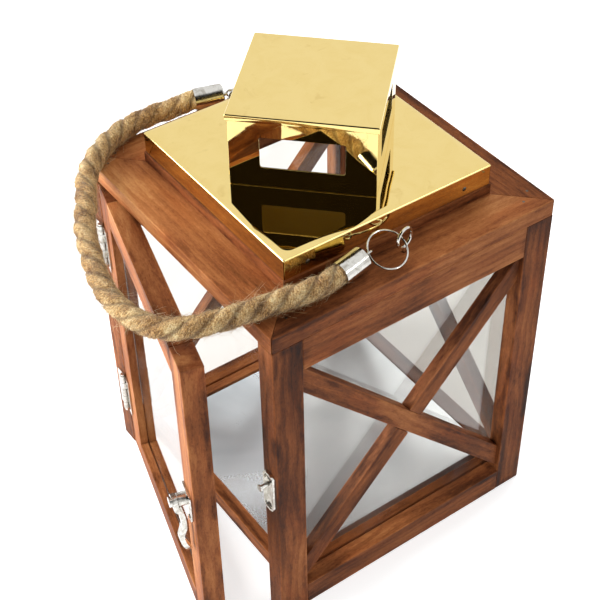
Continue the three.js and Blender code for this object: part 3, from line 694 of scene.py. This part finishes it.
def make_brass(name, inside, seam=None):
    """Polished sheet, dull where inside(g, position) is 1, and painted near-black as shade where
    seam(g, position) is 1.
    """
    material, g = new_material(name)
    at = object_position(g)
    marks = g.noise(at, 60.0, 4.0, 0.65, 0.6)
    stains = g.noise(g.stretch(at, (70, 70, 160)), 1.0, 3.0, 0.6, 0.5)
    base = g.mix(g.span(marks, 0.35, 0.75), (0.87, 0.675, 0.27), (0.84, 0.64, 0.24))
    base = g.mix(g.span(stains, 0.6, 0.74, 0.0, 0.3), base, (0.62, 0.43, 0.13))
    roughness = g.math("ADD", 0.03, g.math("MULTIPLY", g.span(marks, 0.5, 0.8), 0.04))
    normal = g.bump(g.noise(at, 26.0, 2.0), 1.0, 0.00012)
    # painted shade of the slit between two flanges, drawn as a near-black line
    if seam is not None:
        base = g.mix(seam(g, at), base, (0.02, 0.014, 0.006))
    blend = g.add("ShaderNodeMixShader")
    g.put(blend.inputs[0], inside(g, at))
    g.put(blend.inputs[1], metal_shader(g, base, roughness, normal).outputs[0])
    dull = g.add("ShaderNodeBsdfDiffuse", {"Color": (0.19, 0.135, 0.04)})
    g.put(blend.inputs[2], dull.outputs[0])
    finish_material(g, blend.outputs[0])
    return material


ROOF_LOW, ROOF_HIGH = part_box("roof_plate")
LID_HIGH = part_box("chimney_lid")[1]
SHELL_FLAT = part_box("chimney_shell")[1].x / math.sqrt(2)

# The roof plate's sheet: its thickness, the roll of its rim, and the folded edge's radius.
SHEET = 0.8 * MM
ROLL_WIDTH = 4.6 * MM
ROLL_DROP = 0.85 * MM
BEAD = 1.1 * MM
EDGE = 0.15 * MM
FLUE_REACH = 36 * math.sqrt(2) * MM


def rounded_ring(half, corner, z, segments=8):
    """A square with rounded corners at one height, starting in the corner towards +X +Y."""
    ring = []
    for quarter in range(4):
        for i in range(segments + 1):
            angle = math.pi / 2 * (quarter + i / segments)
            x = corner * math.cos(angle) + (half - corner) * (1 if quarter in (0, 3) else -1)
            y = corner * math.sin(angle) + (half - corner) * (1 if quarter in (0, 1) else -1)
            ring.append((x, y, z))
    return ring


def make_roof_sheet():
    """The roof plate with its rim rolled gently down, over a bead and into a folded flange."""
    half, top, bottom = ROOF_HIGH.x, ROOF_HIGH.z, ROOF_LOW.z

    def roll(inset):
        return ((ROLL_WIDTH - inset) / ROLL_WIDTH) ** 1.5

    tilt = math.atan(1.5 * ROLL_DROP / ROLL_WIDTH * roll(BEAD * 0.76) ** (1 / 3))
    bead_inset = BEAD * (1 - math.sin(tilt))
    profile = []
    for i in range(9):
        inset = ROLL_WIDTH + (bead_inset - ROLL_WIDTH) * i / 8
        profile.append((inset, top - ROLL_DROP * roll(inset)))
    start_z = profile[-1][1]
    for i in range(1, 7):
        angle = tilt + (math.pi / 2 - tilt) * i / 6
        inset = bead_inset - BEAD * (math.sin(angle) - math.sin(tilt))
        profile.append((inset, start_z - BEAD * (math.cos(tilt) - math.cos(angle))))
    profile += [(0, bottom + EDGE), (EDGE, bottom), (SHEET - EDGE, bottom)]
    profile += [(SHEET, bottom + EDGE), (SHEET, top - 2.6 * MM), (ROLL_WIDTH, top - SHEET)]

    verts, faces = [], []
    for inset, z in profile:
        verts += rounded_ring(half - inset, 0.8 * MM + 0.9 * inset, z)
    count = len(verts) // len(profile)
    for j in range(len(profile) - 1):
        for k in range(count):
            a, b = j * count + k, j * count + (k + 1) % count
            faces.append((b, a, a + count, b + count))
    for z, first, upward in ((top, 0, True), (top - SHEET, (len(profile) - 1) * count, False)):
        flue = len(verts)
        verts += [(FLUE_REACH, 0, z), (0, FLUE_REACH, z), (-FLUE_REACH, 0, z), (0, -FLUE_REACH, z)]
        each = count // 4
        for quarter in range(4):
            corner = [first + quarter * each + i for i in range(each)]
            here, after = flue + quarter, flue + (quarter + 1) % 4
            nearest = first + ((quarter + 1) * each) % count
            for face in ([here] + corner + [after], [after, corner[-1], nearest]):
                faces.append(tuple(face if upward else reversed(face)))
    for quarter in range(4):
        a, b = len(verts) - 8 + quarter, len(verts) - 8 + (quarter + 1) % 4
        faces.append((a, b, b + 4, a + 4))
    sheet = add_mesh("roof_sheet", verts, faces)
    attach(sheet, "root")
    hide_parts("roof_plate")
    return sheet


def flange_gap_shade(g, at):
    """1 on the fine line where two folded flanges meet at a corner of the roof plate: the painted
    shade of the slit between them.
    """
    split = g.add("ShaderNodeSeparateXYZ", {"Vector": g.vector("ABSOLUTE", at)})
    apart = g.math("ABSOLUTE", g.math("SUBTRACT", split.outputs[0], split.outputs[1]))
    low = g.math("LESS_THAN", split.outputs[2], ROOF_HIGH.z - 1.9 * MM)
    return g.math("MULTIPLY", g.math("LESS_THAN", apart, 0.35 * MM), low)


def plate_inside(g, at):
    """1 on the inner faces of the roof plate's flanges."""
    split = g.add("ShaderNodeSeparateXYZ", {"Vector": g.vector("ABSOLUTE", at)})
    wide = g.math("MAXIMUM", split.outputs[0], split.outputs[1])
    inner = g.math("LESS_THAN", wide, ROOF_HIGH.x - 0.5 * MM)
    return g.math("MULTIPLY", inner, g.math("LESS_THAN", split.outputs[2], ROOF_HIGH.z - 1.7 * MM))


def lid_inside(g, at):
    """1 on the underside of the chimney's lid and inside its lip."""
    height = g.add("ShaderNodeSeparateXYZ", {"Vector": at}).outputs[2]
    below = g.math("LESS_THAN", height, LID_HIGH.z - 0.5 * MM)
    return g.math("MULTIPLY", below, within(g, at, LID_HIGH.x / math.sqrt(2) - 0.4 * MM))


def within(g, at, reach):
    """1 inside the square of the chimney's turned plan."""
    way = math.sqrt(0.5)
    one = g.math("ABSOLUTE", g.vector("DOT_PRODUCT", at, (way, way, 0)))
    two = g.math("ABSOLUTE", g.vector("DOT_PRODUCT", at, (way, -way, 0)))
    return g.math("LESS_THAN", g.math("MAXIMUM", one, two), reach)


def shell_inside(g, at):
    """1 on the inner faces of the chimney."""
    return within(g, at, SHELL_FLAT - 0.4 * MM)


def make_nickel():
    material, g = new_material("nickel")
    at = object_position(g)
    marks = g.noise(at, 190.0, 4.0, 0.65, 0.6)
    scratches = g.noise(g.stretch(at, (300, 2200, 900)), 1.0, 2.0)
    base = g.mix(g.span(marks, 0.4, 0.7), (0.70, 0.685, 0.64), (0.46, 0.435, 0.385))
    roughness = g.math("ADD", 0.11, g.math("MULTIPLY", g.span(marks, 0.42, 0.72), 0.12))
    normal = g.bump(g.noise(at, 260.0, 2.0), 1.0, 0.00008)
    normal = g.bump(scratches, 0.2, 0.00005, normal)
    finish_material(g, metal_shader(g, base, roughness, normal).outputs[0])
    return material


def make_dark_steel():
    material, g = new_material("dark_steel")
    at = object_position(g)
    marks = g.noise(at, 420.0, 3.0, 0.6)
    base = g.ramp(marks, [(0.35, (0.06, 0.05, 0.04)), (0.7, (0.22, 0.19, 0.15))])
    finish_material(g, metal_shader(g, base, 0.38, g.bump(marks, 0.4, 0.0003)).outputs[0])
    return material


NICKEL = make_nickel()
DARK_STEEL = make_dark_steel()


def make_rounding():
    """Welds a mesh and shades it smooth everywhere but over its sharp edges."""
    tree = bpy.data.node_groups.new("rounding", "GeometryNodeTree")
    tree.interface.new_socket("Geometry", in_out="INPUT", socket_type="NodeSocketGeometry")
    tree.interface.new_socket("Geometry", in_out="OUTPUT", socket_type="NodeSocketGeometry")
    g = Graph(tree)
    entry = g.add("NodeGroupInput")
    welded = g.add(
        "GeometryNodeMergeByDistance", {"Geometry": entry.outputs[0], "Distance": WELD_DISTANCE}
    )
    faces = g.add("GeometryNodeSetShadeSmooth", {"Shade Smooth": True}, domain="FACE")
    g.put(faces.inputs["Geometry"], welded.outputs[0])
    angle = g.add("GeometryNodeInputMeshEdgeAngle").outputs["Unsigned Angle"]
    gentle = g.add("FunctionNodeCompare", data_type="FLOAT", operation="LESS_THAN")
    g.put(gentle.inputs[0], angle)
    gentle.inputs[1].default_value = math.radians(38)
    edges = g.add("GeometryNodeSetShadeSmooth", domain="EDGE")
    g.put(edges.inputs["Geometry"], faces.outputs[0])
    g.put(edges.inputs["Shade Smooth"], gentle.outputs[0])
    g.put(g.add("NodeGroupOutput").inputs[0], edges.outputs[0])
    return tree


ROUNDING = make_rounding()


def shade_smooth(piece):
    piece.modifiers.new("rounding", "NODES").node_group = ROUNDING
    flats = piece.modifiers.new("flats", "WEIGHTED_NORMAL")
    flats.keep_sharp = True
    flats.weight = 100


roof_sheet = make_roof_sheet()
roof_sheet.data.materials.append(make_brass("brass_plate", plate_inside, flange_gap_shade))
shade_smooth(roof_sheet)
for node_name, inside in (("chimney_shell", shell_inside), ("chimney_lid", lid_inside)):
    dress(node_name, make_brass("brass_" + node_name, inside))
    soften(node_name, 0.25 * MM, 2, 50)
    shade_smooth(NODES[node_name])
for node_name in NODES:
    if node_name.startswith(("hinge_", "latch_", "catch_", "screw_eye", "ring_", "ferrule_")):
        dress(node_name, NICKEL)
        if "leaf" in node_name or "plate" in node_name or "lever" in node_name:
            soften(node_name, 0.2 * MM, 2, 40)
        shade_smooth(NODES[node_name])


def make_zinc():
    material, g = new_material("zinc_sheet")
    at = object_position(g)
    cloud = g.noise(g.stretch(at, (11, 11, 11)), 1.0, 3.0, 0.55, 0.7)
    grain = g.noise(at, 900.0, 3.0, 0.7)
    base = g.ramp(cloud, [(0.3, (0.55, 0.59, 0.64)), (0.7, (0.83, 0.875, 0.93))])
    rough = g.math("ADD", g.span(cloud, 0.3, 0.7, 0.34, 0.2), g.math("MULTIPLY", grain, 0.1))
    shader = g.add(
        "ShaderNodeBsdfPrincipled",
        {
            "Base Color": base,
            "Metallic": 0.85,
            "Roughness": rough,
            "Normal": g.bump(grain, 0.15, 0.0002),
        },
    )
    finish_material(g, shader.outputs[0])
    return material


dress("candle_floor", make_zinc())


# ------------------------------------------------------------------ screws and nails


HEAD_STEPS = 12
# how far a head's underside and a slot's floor lie below the surface, in millimetres
HEAD_SUNK = 0.8
SLOT_FLOOR = 0.25
BOX_FACES = (
    (3, 2, 1, 0),
    (4, 5, 6, 7),
    (0, 1, 5, 4),
    (1, 2, 6, 5),
    (2, 3, 7, 6),
    (3, 0, 4, 7),
)


def head_points(centre, out, across, radius, height, slot):
    """A domed head's points and faces, drawn as two halves each side of a slot and its floor."""
    along = out.cross(across)
    steps = HEAD_STEPS
    verts, faces = [], []

    def place(x, y, z):
        return centre + along * x + across * y + out * z

    for way in (1, -1):
        rows = [slot + (radius * 0.995 - slot) * math.sin(math.pi / 2 * j / 6) for j in range(7)]
        start = len(verts)
        for y in rows:
            reach = math.sqrt(max(radius * radius - y * y, 0))
            for i in range(steps + 1):
                x = reach * math.sin(math.pi / 2 * (2 * i / steps - 1))
                rise = height * max(1 - (x * x + y * y) / (radius * radius), 0) ** 0.8
                verts.append(place(x, way * y, rise))
                verts.append(place(x, way * y, -HEAD_SUNK * MM))
        width = 2 * (steps + 1)
        for j in range(6):
            for i in range(steps):
                a = start + j * width + 2 * i
                top = (a, a + 2, a + 2 + width, a + width)
                under = tuple(v + 1 for v in reversed(top))
                faces += [top, under] if way == 1 else [top[::-1], under[::-1]]
        loop = [start + 2 * i for i in range(steps + 1)]
        loop += [start + j * width + 2 * steps for j in range(1, 7)]
        loop += [start + 6 * width + 2 * i for i in range(steps - 1, -1, -1)]
        loop += [start + j * width for j in range(5, 0, -1)]
        for k, a in enumerate(loop):
            b = loop[(k + 1) % len(loop)]
            side = (a, a + 1, b + 1, b)
            faces.append(side if way == 1 else side[::-1])
    if slot > 0:
        start = len(verts)
        for z in (-HEAD_SUNK, -SLOT_FLOOR):
            for x, y in ((-1, -1), (1, -1), (1, 1), (-1, 1)):
                verts.append(place(x * radius * 0.9, y * (slot + 0.05 * MM), z * MM))
        faces += [tuple(start + k for k in face) for face in BOX_FACES]
    return verts, faces


def add_heads(name, body, material, heads):
    """Each head: centre, outward direction, slot turn in degrees, then radius, height and half
    slot in millimetres."""
    verts, faces = [], []
    for centre, out, turn, radius, height, slot in heads:
        out = Vector(out).normalized()
        level = Vector((0, 0, 1)) if abs(out.z) < 0.9 else Vector((1, 0, 0))
        across = Matrix.Rotation(math.radians(turn), 3, out) @ out.cross(level).normalized()
        more, sides = head_points(Vector(centre), out, across, radius * MM, height * MM, slot * MM)
        faces += [tuple(k + len(verts) for k in face) for face in sides]
        verts += more
    piece = add_mesh(name, verts, faces, smooth=False)
    piece.data.materials.append(material)
    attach(piece, body)


DOOR_OPEN = math.radians(15)
DOOR_ALONG = Vector((math.cos(DOOR_OPEN), -math.sin(DOOR_OPEN), 0))
DOOR_IN = Vector((math.sin(DOOR_OPEN), math.cos(DOOR_OPEN), 0))
screw_rng = random.Random(5)
for hinge in ("upper", "lower"):
    low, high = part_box(f"hinge_{hinge}_pin")
    axis = (low + high) / 2
    for leaf, body, along, inward in (
        ("frame", "root", Vector((-1, 0, 0)), Vector((0, 1, 0))),
        ("door", "door", DOOR_ALONG, DOOR_IN),
    ):
        face = axis + along * 5.5 * MM + inward * 1.05 * MM
        spots = [face + Vector((0, 0, z * MM)) for z in (-10, 10)]
        heads = [(spot, -inward, screw_rng.uniform(0, 180), 1.32, 0.35, 0.24) for spot in spots]
        add_heads(f"hinge_{hinge}_{leaf}_screws", body, DARK_STEEL, heads)

low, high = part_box("catch_plate")
CATCH_FACE_Y = -101.2 * MM
catch_face = Vector(((low.x + high.x) / 2, CATCH_FACE_Y, (low.z + high.z) / 2))
add_heads(
    "catch_screws",
    "root",
    DARK_STEEL,
    [
        (catch_face + Vector((0, 0, z * MM)), (0, -1, 0), turn, 1.9, 0.5, 0.3)
        for z, turn in ((12, 35), (-12, 110))
    ],
)

low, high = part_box("latch_plate")
latch_pivot = (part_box("latch_rivet")[0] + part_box("latch_rivet")[1]) / 2
plate_back = DOOR_IN.dot(Vector((low.x, high.y, 0)) - latch_pivot)
latch_heads = []
for side, turn in ((-1, 20), (1, 75)):
    spot = latch_pivot + DOOR_IN * (plate_back - 1.25 * MM) + DOOR_ALONG * side * 5.6 * MM
    spot -= Vector((0, 0, 11.5 * MM))
    latch_heads.append((spot, -DOOR_IN, turn, 1.5, 0.4, 0.26))
add_heads("latch_screws", "door", DARK_STEEL, latch_heads)

FLANGE_X = ROOF_HIGH.x
nail_level = (ROOF_LOW.z + ROOF_HIGH.z) / 2 - 1.2 * MM
nails = []
for way in (Vector((1, 0, 0)), Vector((-1, 0, 0))):
    side_way = Vector((-way.y, way.x, 0))
    for reach, drop in ((-57, 0.0), (53, 1.2)):
        spot = way * FLANGE_X + side_way * reach * MM + Vector((0, 0, nail_level - drop * MM))
        nails.append((spot, way, 0, 1.45, 0.5, 0.0))
add_heads("flange_nails", "root", DARK_STEEL, nails)

board_nails = []
for cx, cy in ((1, -1), (1, 1), (-1, -1), (-1, 1)):
    for dx, dy in ((90.5, 84), (84, 92.5)):
        spot = (cx * dx * MM, cy * dy * MM, BOARD_TOP)
        board_nails.append((spot, (0, 0, 1), 0, 0.85, 0.12, 0.0))
add_heads("board_nails", "root", DARK_STEEL, board_nails)


# ------------------------------------------------------------------ jute


def make_jute():
    material, g = new_material("jute")
    lay = g.add("ShaderNodeUVMap", uv_map="lay").outputs["UV"]
    twist = g.add("ShaderNodeMapping", {"Vector": lay, "Rotation": (0, 0, 0.55)}).outputs[0]
    threads = g.noise(g.stretch(twist, (6, 26, 1)), 1.0, 4.0, 0.7, 0.5)
    fine = g.noise(g.stretch(twist, (14, 62, 1)), 1.0, 3.0, 0.7, 0.3)
    patch = g.noise(object_position(g), 90.0, 2.0)
    speck = g.noise(object_position(g), 1150.0, 2.0, 0.6)
    value = g.math("ADD", g.math("MULTIPLY", threads, 0.42), g.math("MULTIPLY", fine, 0.25))
    value = g.math("ADD", value, g.math("MULTIPLY", speck, 0.33))
    value = g.math("ADD", value, g.math("MULTIPLY", g.math("SUBTRACT", patch, 0.5), 0.35))
    colour = g.ramp(
        value,
        [
            (0.40, linear(104, 68, 32)),
            (0.47, linear(180, 134, 78)),
            (0.53, linear(222, 180, 116)),
            (0.60, linear(252, 230, 176)),
        ],
    )
    odd = g.noise(g.stretch(twist, (3, 26, 1)), 1.7, 1.0)
    colour = g.mix(g.span(odd, 0.73, 0.77, 0.0, 0.55), colour, linear(170, 110, 120))
    # painted shade: the jute darkens towards each strand's inner side, in the grooves where the
    # strands press together, broken up by the threads
    turn = g.add("ShaderNodeSeparateXYZ", {"Vector": lay}).outputs[1]
    strand_outer_side = g.math("COSINE", g.math("MULTIPLY", turn, 2 * math.pi))
    uneven = g.math("ADD", strand_outer_side, g.math("MULTIPLY", g.math("SUBTRACT", threads, 0.5), 0.5))
    colour = g.mix(g.span(uneven, 0.72, 0.25, 0.0, 0.62), colour, linear(96, 66, 38))
    height = g.math("ADD", threads, g.math("MULTIPLY", fine, 0.5))
    shader = g.add(
        "ShaderNodeBsdfPrincipled",
        {
            "Base Color": colour,
            "Roughness": 0.85,
            "Specular IOR Level": 0.2,
            "Sheen Weight": 0.25,
            "Sheen Roughness": 0.5,
            "Normal": g.bump(height, 0.9, 0.0012),
        },
    )
    finish_material(g, shader.outputs[0])
    return material


def make_fibre_material():
    material, g = new_material("jute_fibre")
    shade = g.add("ShaderNodeAttribute", attribute_name="shade").outputs["Fac"]
    colour = g.ramp(
        shade,
        [
            (0.0, linear(150, 116, 74)),
            (0.55, linear(196, 166, 120)),
            (1.0, linear(232, 212, 176)),
        ],
    )
    shader = g.add(
        "ShaderNodeBsdfPrincipled",
        {"Base Color": colour, "Roughness": 0.7, "Specular IOR Level": 0.3},
    )
    finish_material(g, shader.outputs[0])
    return material


rope.data.materials.append(make_jute())
fibres.data.materials.append(make_fibre_material())


# ------------------------------------------------------------------ stage and light


WHITE = (1.0, 1.0, 1.0)
AMBIENT = (0.43, 0.432, 0.438)
DARK_SIDE = (0.012, 0.010, 0.008)
DARK_SIDE_WAY = Vector((0.443, -0.584, 0.680))
# cosines of the angles from that way at which the dark starts and is full
DARK_SIDE_EDGE = (0.72, 0.86)
FLOOR_HALF = 3.0
FLOOR_GAP = 0.0002
FLOOR_COLOUR = (0.8, 0.8, 0.8)
FLOOR_GLOW = 0.62
LAMP_AIM = (0, 0, 0.12)


def seen_directly(g):
    """1 where the ray comes straight from the camera or by way of metal or glass."""
    path = g.add("ShaderNodeLightPath").outputs
    straight = g.math("MAXIMUM", path["Is Camera Ray"], path["Is Transmission Ray"])
    return g.math("MAXIMUM", straight, path["Is Glossy Ray"])


def make_world():
    """White all round but for one dark side of the room, the same to camera, metal and glass."""
    world = bpy.data.worlds.new("studio")
    world.use_nodes = True
    world.node_tree.nodes.clear()
    g = Graph(world.node_tree)
    direction = g.vector("NORMALIZE", g.add("ShaderNodeTexCoord").outputs["Generated"])
    facing = g.vector("DOT_PRODUCT", direction, tuple(DARK_SIDE_WAY.normalized()))
    dark = g.span(facing, *DARK_SIDE_EDGE)
    room = g.mix(dark, WHITE, DARK_SIDE)
    colour = g.mix(seen_directly(g), AMBIENT, room)
    background = g.add("ShaderNodeBackground", {"Color": colour, "Strength": 1.0})
    output = g.add("ShaderNodeOutputWorld")
    g.put(output.inputs["Surface"], background.outputs[0])
    bpy.context.scene.world = world


def make_floor():
    """A pale floor that glows a little wherever it is seen, and keeps the object's shadow."""
    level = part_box("post_front_right")[0].z - FLOOR_GAP
    ways = ((-1, -1), (1, -1), (1, 1), (-1, 1))
    corners = [(x * FLOOR_HALF, y * FLOOR_HALF, level) for x, y in ways]
    floor = add_mesh("floor", corners, [(0, 1, 2, 3)], smooth=False)
    material, g = new_material("floor")
    diffuse = g.add("ShaderNodeBsdfDiffuse", {"Color": FLOOR_COLOUR})
    strength = g.math("MULTIPLY", seen_directly(g), FLOOR_GLOW)
    glow = g.add("ShaderNodeEmission", {"Color": WHITE, "Strength": strength})
    both = g.add("ShaderNodeAddShader")
    g.put(both.inputs[0], diffuse.outputs[0])
    g.put(both.inputs[1], glow.outputs[0])
    finish_material(g, both.outputs[0])
    floor.data.materials.append(material)


def add_softbox(name, place, size, power, mirrored=True):
    data = bpy.data.lights.new(name, "AREA")
    data.shape = "RECTANGLE"
    data.size, data.size_y = size
    data.energy = power
    lamp = bpy.data.objects.new(name, data)
    lamp.location = place
    lamp.visible_glossy = mirrored
    lamp.rotation_euler = (Vector(LAMP_AIM) - Vector(place)).to_track_quat("-Z", "Y").to_euler()
    bpy.context.scene.collection.objects.link(lamp)


make_world()
make_floor()
add_softbox("softbox_left", (-0.70, -1.27, 0.72), (1.0, 1.0), 35)
add_softbox("softbox_rear", (-0.6, 1.1, 1.3), (1.2, 0.9), 11, mirrored=False)
add_softbox("softbox_right", (1.2, 0.8, 1.05), (0.4, 0.4), 2.2)
add_softbox("softbox_front", (0.75, -1.25, 0.55), (0.8, 0.8), 4, mirrored=False)

bpy.context.scene.view_settings.view_transform = "Standard"
